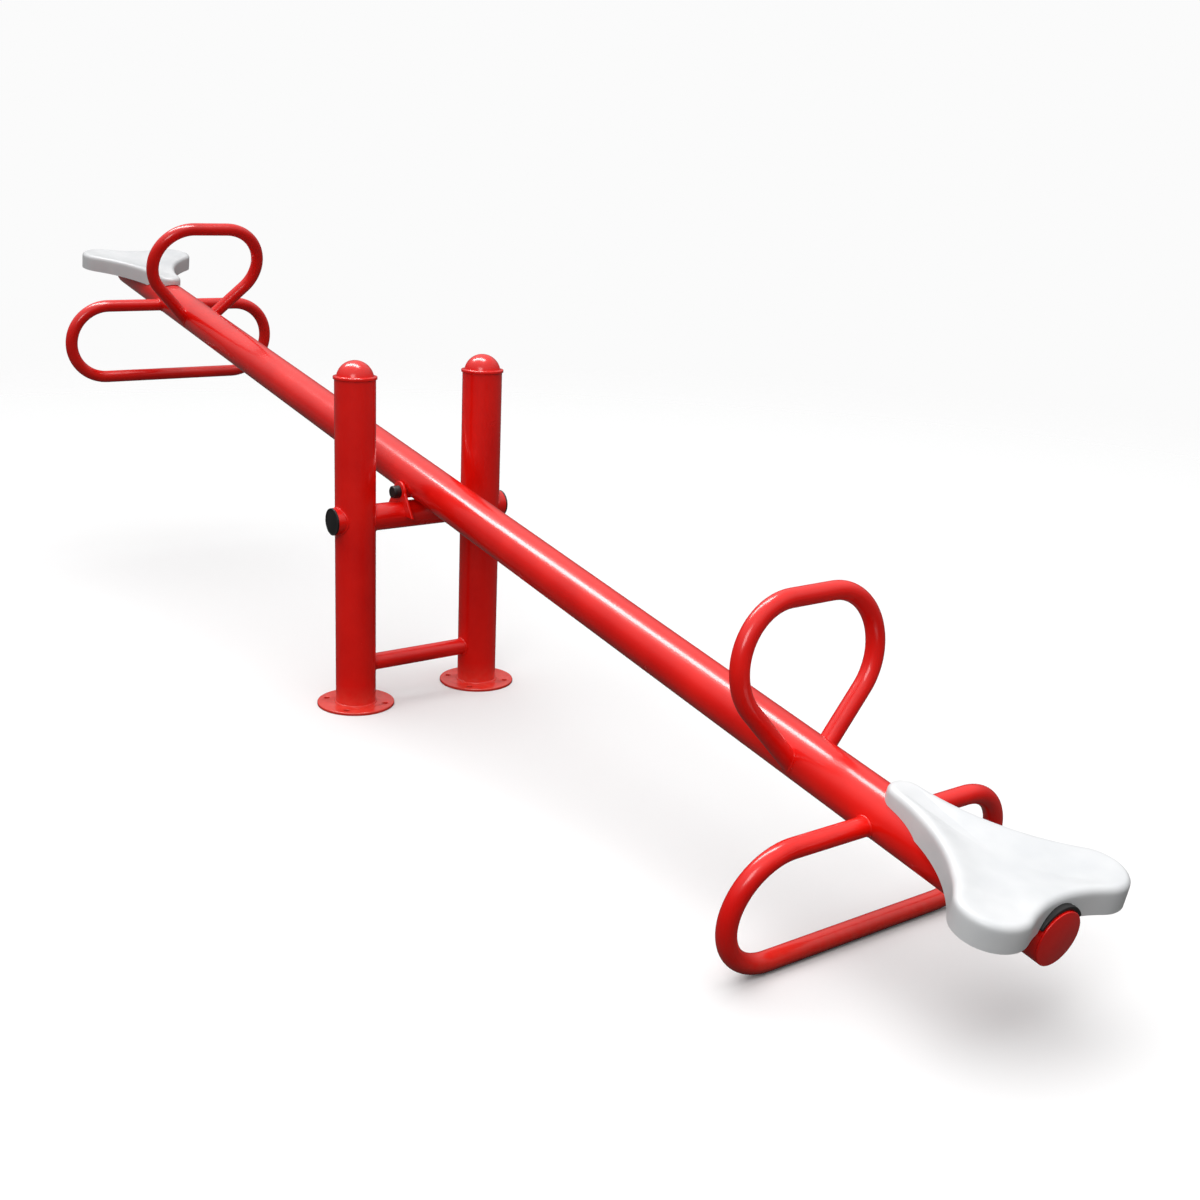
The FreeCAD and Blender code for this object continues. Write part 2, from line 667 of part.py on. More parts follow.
def make_seat(end_name, end):
    """A moulded shell with a deep skirt, and four bosses that stand on the seat plate."""
    name = end_name + "_seat"
    body = doc.addObject("PartDesign::Body", name + "_body")
    outline = new_sketch(body, name + "_outline", "XY_Plane")
    for edge in seat_outline(0.0):
        outline.addGeometry(edge, False)
    shell = pad(body, name + "_shell", outline, "seat_skirt")
    doc.recompute()
    rim = ["Edge%d" % number for number, edge in enumerate(shell.Shape.Edges, start=1)
           if edge.BoundBox.ZMin > SIZES["seat_skirt"] / 2]
    rounded = body.newObject("PartDesign::Fillet", name + "_rounded")
    rounded.Base = (shell, rim)
    bind(rounded, Radius="seat_edge_round")
    inside = new_sketch(body, name + "_inside", "XY_Plane")
    for edge in seat_outline(SIZES["seat_shell"]):
        inside.addGeometry(edge, False)
    pocket(body, name + "_hollow", inside, "seat_skirt - seat_shell", reverse=True)
    footing = new_sketch(body, name + "_bosses", "XY_Plane", lift=BOSS_START)
    for across, up in bolt_places():
        add_circle(footing, "seat_insert_diameter + 2 * seat_boss_wall", across, up)
    pad(body, name + "_boss", footing, "seat_skirt - seat_shell / 2 - ( " + BOSS_START + " )")
    bores = new_sketch(body, name + "_bores", "XY_Plane", lift=BOSS_START)
    for across, up in bolt_places():
        add_circle(bores, "seat_insert_diameter", across, up)
    pocket(body, name + "_bore", bores, "seat_bolt_reach", reverse=True)
    place_at_seat(body, end, SEAT_RIM)
    envelope = beam_envelope(name + "_cope", "seat_beam_gap")
    reach = "seat_front + seat_rear_reach" if end > 0 else "0 - ( seat_front + seat_rear_reach + seat_length )"
    arch = rod(name + "_rear_arch", "beam_diameter + 2 * seat_rear_gap", "seat_length", ALONG_X,
               x=reach, z="beam_above_pivot")
    keep_on_beam(cut(name + "_cut", body, envelope, arch), name)


def place_at_seat(thing, end, height):
    """Put a piece drawn from the seat's front at one end of the beam."""
    turn = UPRIGHT if end > 0 else FreeCAD.Rotation(Z_AXIS, 180)
    return put(thing, turn, x=signed(end, "seat_front"), z=height)


def make_seat_plate(end_name, end):
    """The steel plate under a seat, welded on the beam's crown and drilled for four bolts."""
    name = end_name + "_seat_plate"
    body = doc.addObject("PartDesign::Body", name + "_body")
    outline = new_sketch(body, name + "_outline", "XY_Plane")
    low = SIZES["seat_plate_inset"]
    high = low + SIZES["seat_plate_length"]
    half = SIZES["seat_plate_width"] / 2
    add_chain(outline, (
        line((low, -half), (high, -half)),
        line((high, -half), (high, half)),
        line((high, half), (low, half)),
        line((low, half), (low, -half)),
    ), closed=True)
    pad(body, name + "_slab", outline, "seat_plate_thickness")
    holes = new_sketch(body, name + "_holes", "XY_Plane")
    for across, up in bolt_places():
        add_circle(holes, "seat_bolt_diameter + 2 * bolt_clearance", across, up)
    pocket(body, name + "_drill", holes, "seat_plate_thickness", reverse=True)
    whole = place_at_seat(body, end, "beam_above_pivot + beam_diameter / 2")
    keep_on_beam(group(name + "_group", [whole]), name)


def make_seat_ribs(end_name, end):
    """Two cross ribs that carry the seat plate on the beam's flanks."""
    name = end_name + "_seat_ribs"
    ribs = []
    for number in (-1, 1):
        centre = "seat_front + seat_plate_inset + seat_plate_length / 2"
        middle = signed(end, centre + " + %d * rib_spacing / 2" % number)
        slab = block("%s_%d" % (name, number + 1), "rib_thickness", "seat_plate_width", "rib_depth",
                     x=middle + " - rib_thickness / 2", y="0 - seat_plate_width / 2",
                     z="beam_above_pivot + beam_diameter / 2 - rib_depth")
        cope = beam_envelope("%s_%d_cope" % (name, number + 1))
        ribs.append(cut("%s_%d_cut" % (name, number + 1), slab, cope))
    keep_on_beam(group(name + "_group", ribs), name)


def make_seat_fasteners(end_name, end):
    """Bolts from below, their washers, and the threaded inserts moulded into the seat."""
    under = "beam_above_pivot + beam_diameter / 2"
    bolts, washers, inserts = [], [], []
    for number, (across, up) in enumerate(bolt_places(), start=1):
        tag = "%s_seat_%d_" % (end_name, number)
        centre_x = "seat_front + seat_plate_inset + seat_plate_length / 2"
        half_x = "seat_bolt_spacing_x / 2" if number > 2 else "0 - seat_bolt_spacing_x / 2"
        half_y = "seat_bolt_spacing_y / 2" if number % 2 == 0 else "0 - seat_bolt_spacing_y / 2"
        x = signed(end, centre_x + " + " + half_x)
        y = signed(end, half_y)
        top_of_head = under + " - seat_washer_thickness"
        length = "seat_washer_thickness + seat_plate_thickness + seat_bolt_reach - 1"
        shank = rod(tag + "shank", "seat_bolt_diameter", length, x=x, y=y, z=top_of_head)
        head = hexagon(tag + "head", "seat_bolt_flats", "seat_bolt_head", UPRIGHT,
                       x=x, y=y, z=top_of_head + " - seat_bolt_head")
        bolts.append(fuse(tag + "bolt", shank, head))
        disc = rod(tag + "disc", "seat_washer_diameter", "seat_washer_thickness", x=x, y=y, z=top_of_head)
        eye = rod(tag + "eye", "seat_bolt_diameter + 2 * bolt_clearance", "seat_washer_thickness",
                  x=x, y=y, z=top_of_head)
        washers.append(cut(tag + "washer", disc, eye))
        barrel = rod(tag + "barrel", "seat_insert_diameter", "seat_bolt_reach", x=x, y=y, z=SEAT_PLATE_TOP)
        thread = rod(tag + "thread", "seat_bolt_diameter", "seat_bolt_reach", x=x, y=y, z=SEAT_PLATE_TOP)
        inserts.append(cut(tag + "insert", barrel, thread))
    keep_on_beam(group(end_name + "_bolts_group", bolts), end_name + "_seat_bolts")
    keep_on_beam(group(end_name + "_washers_group", washers), end_name + "_seat_washers")
    keep_on_beam(group(end_name + "_inserts_group", inserts), end_name + "_seat_inserts")


# ---------------------------------------------------------------- build and write

for side_name, side in SIDES.items():
    make_post(side_name, side)
    make_post_cap(side_name, side)
    make_base_flange(side_name, side)
    make_tube_plug(side_name, side)
    make_ear(side_name, side)
    make_bush(side_name, side)
make_crossbar()
make_cross_tube()
make_pivot_bolt()
make_pivot_washers()
make_nut_caps()
make_sleeve()
make_beam()
make_housing()
for end_name, end in ENDS.items():
    make_end_plate(end_name, end)
    make_footrest(end_name, end)
    make_handle(end_name, end)
    make_seat(end_name, end)
    make_seat_plate(end_name, end)
    make_seat_ribs(end_name, end)
    make_seat_fasteners(end_name, end)
doc.recompute()

for thing in doc.Objects:
    if "Invalid" in thing.State or "Error" in thing.State:
        raise RuntimeError("%s did not build: %s" % (thing.Name, thing.State))
for node in nodes:
    if node.Shape.isNull() or not node.Shape.isValid() or not node.Shape.Solids:
        raise RuntimeError("%s has no valid solid" % node.Label)

os.makedirs("parts", exist_ok=True)
for node in nodes:
    node.Shape.exportStep("parts/%s.step" % node.Label)
    box = node.Shape.BoundBox
    print("%-22s solids %d volume %10.0f  x %8.1f %8.1f  y %7.1f %7.1f  z %7.1f %7.1f" % (
        node.Label, len(node.Shape.Solids), node.Shape.Volume,
        box.XMin, box.XMax, box.YMin, box.YMax, box.ZMin, box.ZMax))
print("nodes %d, rest tilt %.4f degrees" % (len(nodes), SIZES["rest_tilt"]))
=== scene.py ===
"""A playground seesaw: red enamelled pipe, white moulded seats, black plastic caps."""
import json
import math

import bmesh
import bpy
from mathutils import Matrix, Quaternion, Vector


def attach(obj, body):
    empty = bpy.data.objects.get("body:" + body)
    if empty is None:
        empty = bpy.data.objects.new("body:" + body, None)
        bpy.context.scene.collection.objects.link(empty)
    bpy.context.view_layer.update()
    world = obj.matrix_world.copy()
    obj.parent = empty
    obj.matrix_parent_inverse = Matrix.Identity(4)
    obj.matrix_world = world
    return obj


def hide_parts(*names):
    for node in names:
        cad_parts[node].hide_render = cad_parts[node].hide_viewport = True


MM = 0.001
SIDES = (("left", -1), ("right", 1))
ENDS = (("near", 1), ("far", -1))
ALONG_BEAM = (0, math.pi / 2, 0)

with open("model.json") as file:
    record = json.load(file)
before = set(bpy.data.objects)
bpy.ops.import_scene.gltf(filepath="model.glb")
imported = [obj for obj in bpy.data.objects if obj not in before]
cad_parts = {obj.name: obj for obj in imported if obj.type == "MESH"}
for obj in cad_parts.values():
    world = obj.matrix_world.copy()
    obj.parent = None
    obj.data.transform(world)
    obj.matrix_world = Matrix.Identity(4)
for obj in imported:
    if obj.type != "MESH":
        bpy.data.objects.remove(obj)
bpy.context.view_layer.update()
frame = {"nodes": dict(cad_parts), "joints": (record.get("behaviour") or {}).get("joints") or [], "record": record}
nodes = frame["nodes"]
tilt_joint = frame["joints"][0]
PIVOT = Vector(tilt_joint["pos_m"])
TILT = math.radians(tilt_joint["range_deg"][1] / 2)

# Sizes in metres, the same as the frame's own.
POST_RADIUS = 57 * MM
POST_Y = 205 * MM
FLANGE_TOP = 8 * MM
CROSSBAR_RADIUS = 24 * MM
CROSSBAR_Z = 116 * MM
CROSS_TUBE_RADIUS = 38 * MM
CROSS_TUBE_Z = 543 * MM
CROSS_TUBE_END = 274 * MM
BEAM_RADIUS = 57 * MM
BEAM_AXIS = 32 * MM
LOOP_RADIUS = 21 * MM
FOOTREST_X = 1846 * MM
FOOTREST_Z = BEAM_AXIS - 15.5 * MM
HANDLE_X = 1614.5 * MM
HANDLE_LEAN = math.radians(13.6)
HANDLE_HEIGHT = 348.5 * MM
HANDLE_HALF_WIDTH = 193 * MM
HANDLE_BEND = 134.5 * MM
HANDLE_FOOT = 46 * MM
HANDLE_FOOT_EXTRA = 30 * MM
WELD = 3 * MM
SEAT_FRONT = 1844 * MM
SEAT_LENGTH = 448 * MM
SEAT_SKIRT = 56 * MM
SEAT_RIM = BEAM_AXIS + 26 * MM
SEAT_WALL = 5 * MM
SEAT_NOSE = 38 * MM
SEAT_WING = 72 * MM
SEAT_HALF_WIDTH = 208 * MM
SEAT_FLANK = 400 * MM
SEAT_NOTCH = 30 * MM
SEAT_ROUND = 14 * MM
SEAT_BODY = SEAT_SKIRT - SEAT_ROUND
SEAT_HEART = 288 * MM
SEAT_GAP = 2 * MM
SEAT_REAR_GAP = 9 * MM
PLATE = 6 * MM
BOLT_CENTRE = SEAT_FRONT + 290 * MM
BOLT_X = 85 * MM
BOLT_Y = 52 * MM
BOSS_RADIUS = 10 * MM
INSERT_RADIUS = 6 * MM
BUFFER_SPREAD = math.radians(63)
BUFFER_LENGTH = 42 * MM
BUFFER_SHOWS = 12 * MM

# Sizes of what only the visual model has, and how finely round things are drawn.
BEAD = 3.2 * MM
PLUG_HEAD = 5 * MM
RIM_STEPS = 5
RING_SIDES = 72
TUBE_SIDES = 96
BEAM_SIDES = 192


# ---------------------------------------------------------------- hand tools
def deselect():
    """Nothing selected, so that the next operator acts only on what it is given."""
    if bpy.context.object and bpy.context.object.mode != "OBJECT":
        bpy.ops.object.mode_set(mode="OBJECT")
    bpy.ops.object.select_all(action="DESELECT")


def take(piece):
    """Only this piece selected and active."""
    deselect()
    piece.select_set(True)
    bpy.context.view_layer.objects.active = piece


def open_mesh(piece):
    """The piece's mesh, in edit mode, with nothing selected."""
    take(piece)
    bpy.ops.object.mode_set(mode="EDIT")
    bpy.ops.mesh.select_mode(type="VERT")
    bpy.ops.mesh.select_all(action="DESELECT")
    return bmesh.from_edit_mesh(piece.data)


def pick(piece, kind, test):
    """Selects the vertices or faces, in edit mode, whose own place or middle passes a test."""
    bpy.ops.mesh.select_mode(type=kind)
    bpy.ops.mesh.select_all(action="DESELECT")
    shape = bmesh.from_edit_mesh(piece.data)
    if kind == "VERT":
        for vertex in shape.verts:
            vertex.select = test(vertex.co)
    else:
        for face in shape.faces:
            face.select = test(face.calc_center_median())
    shape.select_flush_mode()
    bmesh.update_edit_mesh(piece.data)


def close_mesh(outward=True):
    """Back to object mode, with every face turned outward unless told otherwise."""
    if outward:
        bpy.ops.mesh.select_all(action="SELECT")
        bpy.ops.mesh.normals_make_consistent(inside=False)
    bpy.ops.object.mode_set(mode="OBJECT")


def modify(piece, kind, **settings):
    """Adds a modifier and applies it at once."""
    take(piece)
    modifier = piece.modifiers.new(kind.lower(), kind)
    for key, value in settings.items():
        setattr(modifier, key, value)
    bpy.ops.object.modifier_apply(modifier=modifier.name)


def bevel(piece, width, segments, degrees):
    """Rounds the edges that are sharper than this."""
    modify(piece, "BEVEL", width=width, segments=segments, limit_method="ANGLE",
           angle_limit=math.radians(degrees))


def smooth(piece, degrees=35):
    """Smooth shading, except over edges sharper than this."""
    take(piece)
    bpy.ops.object.shade_smooth_by_angle(angle=math.radians(degrees))


def settle(piece):
    """Puts the piece's place in its mesh, and its object at the origin."""
    take(piece)
    bpy.ops.object.transform_apply(location=True, rotation=True, scale=True)


def onto_beam(piece, end=1):
    """Takes a piece drawn on a level beam, at its near end, to the tilted beam's own end."""
    settle(piece)
    if end < 0:
        piece.rotation_euler = (0, 0, math.pi)
        settle(piece)
    piece.rotation_euler = (0, TILT, 0)
    piece.location = PIVOT
    settle(piece)


def beam_point(x, y, z):
    """A point on the level beam, measured from the pivot, where it is on the tilted beam."""
    return PIVOT + Matrix.Rotation(TILT, 3, "Y") @ Vector((x, y, z))


def finish_piece(piece, name, body, slot, replaced=()):
    """Names a piece, gives it its finish, ties it to its body, and hides the parts it stands in for."""
    piece.name = name
    piece.data.name = name
    piece.data.materials.clear()
    piece.data.materials.append(FINISHES[slot])
    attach(piece, body)
    if replaced:
        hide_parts(*replaced)


# ---------------------------------------------------------------- finishes
def linear(code):
    """A colour from its sRGB hex value, as the shader wants it."""
    parts = [int(code[i:i + 2], 16) / 255 for i in (1, 3, 5)]
    return tuple(c / 12.92 if c <= 0.04045 else ((c + 0.055) / 1.055) ** 2.4
                 for c in parts) + (1.0,)


def add(material, kind, links=(), **settings):
    """Adds a node, sets its properties and inputs, and links (output, own input) pairs into it."""
    tree = material.node_tree
    made = tree.nodes.new(kind)
    for key, value in settings.items():
        if hasattr(made, key):
            setattr(made, key, value)
        else:
            made.inputs[key.replace("_", " ")].default_value = value
    for source, target in links:
        tree.links.new(source, made.inputs[target])
    return made


def start(name):
    """A new material with only its shader and its object coordinates."""
    material = bpy.data.materials.new(name)
    material.use_nodes = True
    shader = material.node_tree.nodes["Principled BSDF"]
    place = add(material, "ShaderNodeTexCoord")
    return material, shader, place.outputs["Object"]


def ramp(material, source, low, high, positions):
    """Turns a value into a colour or a number between two ends."""
    made = add(material, "ShaderNodeValToRGB", [(source, "Fac")])
    made.color_ramp.elements[0].position, made.color_ramp.elements[1].position = positions
    made.color_ramp.elements[0].color = low
    made.color_ramp.elements[1].color = high
    return made.outputs["Color"]


def grey(value):
    """A plain grey, for a ramp that gives a number."""
    return (value, value, value, 1.0)


def noise(material, place, millimetres, detail):
    """A noise whose features are about this wide."""
    made = add(material, "ShaderNodeTexNoise", [(place, "Vector")], Scale=1000 / millimetres,
               Detail=detail)
    return made.outputs["Fac"]


def red_enamel():
    """Powder coat on steel: deep glossy red, faint orange peel, a little dust low down."""
    material, shader, place = start("powder_coat_red")
    tree = material.node_tree
    clouds = noise(material, place, 180, 3.0)
    tone = ramp(material, clouds, linear("#E90B04"), linear("#FA170C"), (0.35, 0.65))
    height = add(material, "ShaderNodeSeparateXYZ", [(place, "Vector")])
    low_down = add(material, "ShaderNodeMapRange", [(height.outputs["Z"], "Value")],
                   From_Min=70 * MM, From_Max=0.0, To_Max=0.5)
    specks = noise(material, place, 18, 3.0)
    dusty = add(material, "ShaderNodeMath", [(low_down.outputs[0], 0), (specks, 1)],
                operation="MULTIPLY")
    dust = add(material, "ShaderNodeMix", [(dusty.outputs[0], 0), (tone, 6)], data_type="RGBA")
    dust.inputs[7].default_value = linear("#D0705C")
    tree.links.new(dust.outputs[2], shader.inputs["Base Color"])
    smears = noise(material, place, 60, 2.0)
    rough = ramp(material, smears, grey(0.22), grey(0.28), (0.2, 0.8))
    tree.links.new(rough, shader.inputs["Roughness"])
    # Orange peel is 1 to 2 mm across; it is drawn at 9 mm so that it shows from a few metres.
    peel = noise(material, place, 9, 1.0)
    bump = add(material, "ShaderNodeBump", [(peel, "Height")], Strength=0.2, Distance=0.1 * MM)
    tree.links.new(bump.outputs[0], shader.inputs["Normal"])
    shader.inputs["IOR"].default_value = 1.5
    shader.inputs["Coat Weight"].default_value = 0.35
    shader.inputs["Coat Roughness"].default_value = 0.06
    return material


def white_plastic():
    """Rotation-moulded polyethylene: white, satin, with the mould's fine grain and faint scuffs."""
    material, shader, place = start("moulded_polyethylene_white")
    tree = material.node_tree
    clouds = noise(material, place, 120, 3.0)
    tone = ramp(material, clouds, linear("#DADCDE"), linear("#E6E7E8"), (0.3, 0.7))
    tree.links.new(tone, shader.inputs["Base Color"])
    scuffs = noise(material, place, 30, 8.0)
    rough = ramp(material, scuffs, grey(0.28), grey(0.48), (0.35, 0.7))
    tree.links.new(rough, shader.inputs["Roughness"])
    # The mould's grain is under 1 mm; drawn at 2.5 mm so that it shows.
    grain = noise(material, place, 2.5, 2.0)
    bump = add(material, "ShaderNodeBump", [(grain, "Height")], Strength=0.12, Distance=0.3 * MM)
    tree.links.new(bump.outputs[0], shader.inputs["Normal"])
    shader.inputs["IOR"].default_value = 1.51
    return material


def black_plastic():
    """Injection-moulded polyethylene cap: near black, satin, slightly greyed by the weather."""
    material, shader, place = start("moulded_polyethylene_black")
    tree = material.node_tree
    clouds = noise(material, place, 12, 5.0)
    tone = ramp(material, clouds, linear("#101011"), linear("#232324"), (0.3, 0.75))
    tree.links.new(tone, shader.inputs["Base Color"])
    rough = ramp(material, clouds, grey(0.36), grey(0.55), (0.3, 0.75))
    tree.links.new(rough, shader.inputs["Roughness"])
    shader.inputs["IOR"].default_value = 1.51
    return material


def metal(name, dark, light, roughness, grain_mm, stretch=(1, 1, 1)):
    """A bare or plated metal whose grain is drawn at the given width."""
    material, shader, place = start(name)
    tree = material.node_tree
    turned = add(material, "ShaderNodeMapping", [(place, "Vector")], Scale=stretch)
    grain = noise(material, turned.outputs[0], grain_mm, 4.0)
    tone = ramp(material, grain, linear(dark), linear(light), (0.3, 0.7))
    tree.links.new(tone, shader.inputs["Base Color"])
    rough = ramp(material, grain, grey(roughness - 0.07), grey(roughness + 0.1), (0.3, 0.7))
    tree.links.new(rough, shader.inputs["Roughness"])
    shader.inputs["Metallic"].default_value = 1.0
    return material


TURNED = (1, 8, 1)
FINISHES = {
    "red_enamel": red_enamel(),
    "white_plastic": white_plastic(),
    "black_plastic": black_plastic(),
    "zinc_steel": metal("zinc_plated_steel", "#9A9DA0", "#C3C6C8", 0.32, 6),
    "ground_steel": metal("ground_steel", "#8E9092", "#B4B6B8", 0.25, 1.5, TURNED),
    "bronze": metal("turned_bronze", "#8A5F33", "#B07F45", 0.35, 1.5, TURNED),
    "brass_insert": metal("turned_brass", "#A98741", "#CDAA5E", 0.3, 1.5),
}

slot_of = {row["node"]: row["material_slot"] for row in frame["record"]["subparts"]}
body_of = {member: body_name
           for body_name, members in frame["record"]["behaviour"]["bodies"].items()
           for member in members}
for node_name, node in nodes.items():
    node.data.materials.clear()
    node.data.materials.append(FINISHES[slot_of[node_name]])


# ---------------------------------------------------------------- softened steelwork
def soften(node_name, width):
    """A node's own shape with its sharp edges rounded as grinding and paint leave them."""
    take(nodes[node_name])
    bpy.ops.object.duplicate()
    copy = bpy.context.object
    for key in list(copy.keys()):
        if key.startswith("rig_"):
            del copy[key]
    copy.parent = None
    open_mesh(copy)
    bpy.ops.mesh.select_all(action="SELECT")
    bpy.ops.mesh.remove_doubles(threshold=0.02 * MM)
    bpy.ops.mesh.dissolve_limited(angle_limit=math.radians(0.5))
    bpy.ops.object.mode_set(mode="OBJECT")
    bevel(copy, width, 3, 30)
    smooth(copy)
    finish_piece(copy, node_name + "_softened", body_of[node_name], slot_of[node_name],
                 [node_name])


for kind, places, width in (
        ("base_flange", ("left", "right"), 1.6 * MM), ("pivot_ear", ("left", "right"), 1.2 * MM),
        ("beam_end_plate", ("near", "far"), 1.6 * MM), ("seat_plate", ("near", "far"), 1.0 * MM),
        ("post_cap", ("left", "right"), 1.5 * MM)):
    for where in places:
        soften(f"{where}_{kind}", width)


# ---------------------------------------------------------------- weld beads
def bead(name, body, radius, centre, way, wall=None):
    """A weld bead: a ring laid against the wall it meets, then given the bead's own thickness."""
    deselect()
    turn = Vector(way).to_track_quat("Z", "Y")
    bpy.ops.mesh.primitive_circle_add(vertices=RING_SIDES, radius=radius, location=centre,
                                      rotation=turn.to_euler())
    ring = bpy.context.object
    if wall:
        modify(ring, "SHRINKWRAP", target=nodes[wall], wrap_method="PROJECT", use_project_x=False,
               use_project_y=False, use_project_z=True, use_positive_direction=True,
               use_negative_direction=False)
    settle(ring)
    bpy.ops.object.convert(target="CURVE")
    ring = bpy.context.object
    ring.data.bevel_depth = BEAD
    ring.data.bevel_resolution = 3
    bpy.ops.object.convert(target="MESH")
    ring = bpy.context.object
    open_mesh(ring)
    close_mesh()
    smooth(ring, 80)
    finish_piece(ring, name, body, "red_enamel")


OUTSIDE_POSTS = 300 * MM
OUTSIDE_BEAM = 120 * MM
for side, sign in SIDES:
    post = side + "_post"
    inward, outward = (0, -sign, 0), (0, sign, 0)
    bead(side + "_flange_weld", "frame", POST_RADIUS + 1 * MM, (0, sign * POST_Y, FLANGE_TOP),
         (0, 0, 1))
    bead(side + "_crossbar_weld", "frame", CROSSBAR_RADIUS, (0, 0, CROSSBAR_Z), outward, post)
    bead(side + "_cross_tube_inner_weld", "frame", CROSS_TUBE_RADIUS, (0, 0, CROSS_TUBE_Z),
         outward, post)
    bead(side + "_cross_tube_outer_weld", "frame", CROSS_TUBE_RADIUS,
         (0, sign * OUTSIDE_POSTS, CROSS_TUBE_Z), inward, post)

for end_name, end in ENDS:
    for side, sign in SIDES:
        bead(f"{end_name}_{side}_footrest_weld", "beam", LOOP_RADIUS,
             beam_point(end * FOOTREST_X, sign * OUTSIDE_BEAM, FOOTREST_Z), (0, -sign, 0),
             "main_beam")


def handle_leg():
    """A handle's straight leg in its own plane: where it crosses the beam's axis, and its way."""
    centre = Vector((HANDLE_HALF_WIDTH - HANDLE_BEND, HANDLE_HEIGHT - HANDLE_BEND))
    start_point = Vector((HANDLE_FOOT, 0))
    way = centre - start_point
    turn = math.asin(HANDLE_BEND / way.length)
    angle = math.atan2(way.y, way.x) - turn
    return start_point, Vector((math.cos(angle), math.sin(angle)))


leg_start, leg_way = handle_leg()


def handle_collar(end_name, side, end, sign):
    """The weld round a handle's foot: what lies within a bead of both the leg and the beam."""
    def leg_point(along):
        across = leg_start.x + leg_way.x * along
        up = leg_way.y * along
        return Vector((end * (HANDLE_X - up * math.sin(HANDLE_LEAN)), sign * across,
                       BEAM_AXIS + up * math.cos(HANDLE_LEAN)))

    first, last = leg_point(-HANDLE_FOOT_EXTRA), leg_point(OUTSIDE_BEAM)
    way = last - first
    deselect()
    bpy.ops.mesh.primitive_cylinder_add(vertices=TUBE_SIDES, radius=LOOP_RADIUS + WELD,
                                        depth=way.length,
                                        location=(first + last) / 2,
                                        rotation=way.to_track_quat("Z", "Y").to_euler())
    collar = bpy.context.object
    settle(collar)
    deselect()
    bpy.ops.mesh.primitive_cylinder_add(vertices=BEAM_SIDES, radius=BEAM_RADIUS + WELD,
                                        depth=400 * MM, location=(end * HANDLE_X, 0, BEAM_AXIS),
                                        rotation=ALONG_BEAM)
    wrap = bpy.context.object
    settle(wrap)
    modify(collar, "BOOLEAN", object=wrap, operation="INTERSECT", solver="EXACT")
    bpy.data.objects.remove(wrap)
    bevel(collar, WELD * 0.7, 3, 40)
    smooth(collar, 50)
    onto_beam(collar)
    finish_piece(collar, f"{end_name}_{side}_handle_weld", "beam", "red_enamel")


for end_name, end in ENDS:
    for side, sign in SIDES:
        handle_collar(end_name, side, end, sign)


# ---------------------------------------------------------------- plugs
def tube_plug(side, sign):
    """A push-in end plug: a low dome with a rolled rim and a shallow ring, on the tube's end."""
    deselect()
    bpy.ops.mesh.primitive_cylinder_add(vertices=64, radius=CROSS_TUBE_RADIUS, depth=PLUG_HEAD,
                                        location=(0, 0, PLUG_HEAD / 2))
    plug = bpy.context.object
    settle(plug)
    open_mesh(plug)
    pick(plug, "FACE", lambda c: c.z > PLUG_HEAD - 0.1 * MM)
    # The rim, then the ring's groove, then the dome in two steps: how far in, and how far up.
    for inset, rise in ((3, 0), (1.5, -1.2), (8, 0.8), (10, 0.4)):
        bpy.ops.mesh.inset(thickness=inset * MM)
        bpy.ops.transform.translate(value=(0, 0, rise * MM))
    bpy.ops.mesh.poke()
    close_mesh()
    bevel(plug, 0.7 * MM, 3, 30)
    smooth(plug)
    plug.rotation_euler = (-sign * math.pi / 2, 0, 0)
    plug.location = (0, sign * CROSS_TUBE_END, CROSS_TUBE_Z)
    settle(plug)
    finish_piece(plug, side + "_end_plug", "frame", "black_plastic", [side + "_tube_plug"])


for side, sign in SIDES:
    tube_plug(side, sign)


# ---------------------------------------------------------------- seats
def seat_edge():
    """The seat's plan, from the tip of its nose round one side and back, from its front."""
    nose = Vector((SEAT_NOSE, 0))
    wing = Vector((SEAT_LENGTH - SEAT_WING, SEAT_HALF_WIDTH - SEAT_WING))
    # Each flank is an arc that curves in, touching both the nose's circle and the wing's.
    reach_nose, reach_wing = SEAT_FLANK + SEAT_NOSE, SEAT_FLANK + SEAT_WING
    gap = wing - nose
    along = (reach_nose ** 2 - reach_wing ** 2 + gap.length_squared) / (2 * gap.length)
    off = math.sqrt(reach_nose ** 2 - along ** 2)
    way = gap.normalized()
    flank = nose + way * along + Vector((-way.y, way.x)) * off
    # The notch is an arc that curves in, touching both wings.
    spare = SEAT_WING - SEAT_NOTCH
    notch_radius = (spare ** 2 + wing.y ** 2 - SEAT_WING ** 2) / (2 * SEAT_NOTCH)
    notch = Vector((SEAT_LENGTH - SEAT_NOTCH + notch_radius, 0))
    points = []

    def arc(centre, radius, first, last, steps):
        for step in range(steps):
            angle = first + (last - first) * step / steps
            points.append(centre + radius * Vector((math.cos(angle), math.sin(angle))))

    nose_turn = math.atan2(flank.y - nose.y, flank.x - nose.x)
    wing_turn = math.atan2(flank.y - wing.y, flank.x - wing.x)
    notch_turn = math.atan2(notch.y - wing.y, notch.x - wing.x)
    arc(nose, SEAT_NOSE, math.pi, nose_turn, 8)
    arc(flank, SEAT_FLANK, nose_turn - math.pi, wing_turn - math.pi, 16)
    arc(wing, SEAT_WING, wing_turn, notch_turn, 20)
    arc(notch, notch_radius, notch_turn + math.pi, math.pi, 8)
    points.append(Vector((SEAT_LENGTH - SEAT_NOTCH, 0)))
    return points + [Vector((p.x, -p.y)) for p in points[-2:0:-1]]


